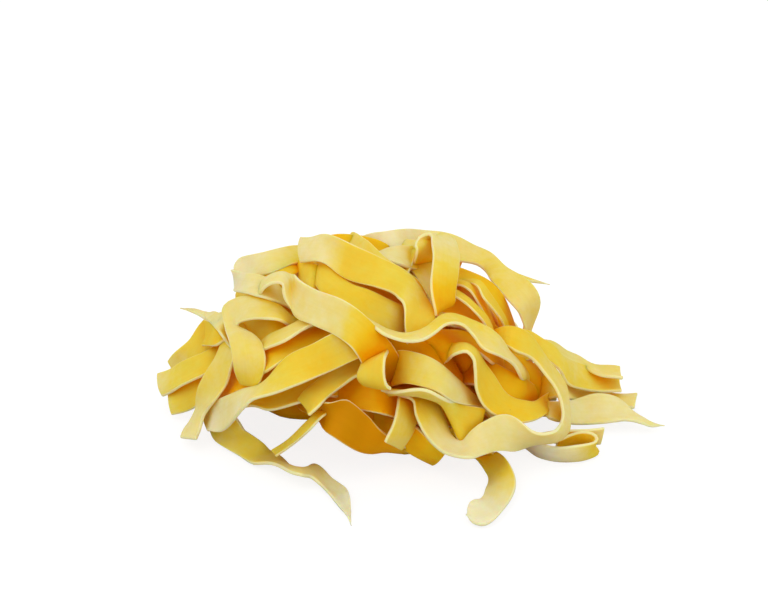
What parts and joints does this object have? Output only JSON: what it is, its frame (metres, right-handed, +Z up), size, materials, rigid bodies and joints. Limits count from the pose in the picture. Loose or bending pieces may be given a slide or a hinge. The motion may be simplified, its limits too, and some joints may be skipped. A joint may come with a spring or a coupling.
{
  "type": "tagliatelle nest",
  "caption": "Loose nest of fresh flat egg noodles lying on a table, with looped bands on top and a few ends trailing off its foot",
  "frame": {"origin": "on the table, under the middle of the nest's box", "axes": "+Z up, -Y towards the front shown in the picture, +X to the right as seen from the front"},
  "size_m": [0.127, 0.1124, 0.048],
  "materials": {
    "egg_pasta": "dull, lightly floured"
  },
  "bodies": {
    "root": {"pasta_nest": "egg_pasta"}
  },
  "joints": []
}
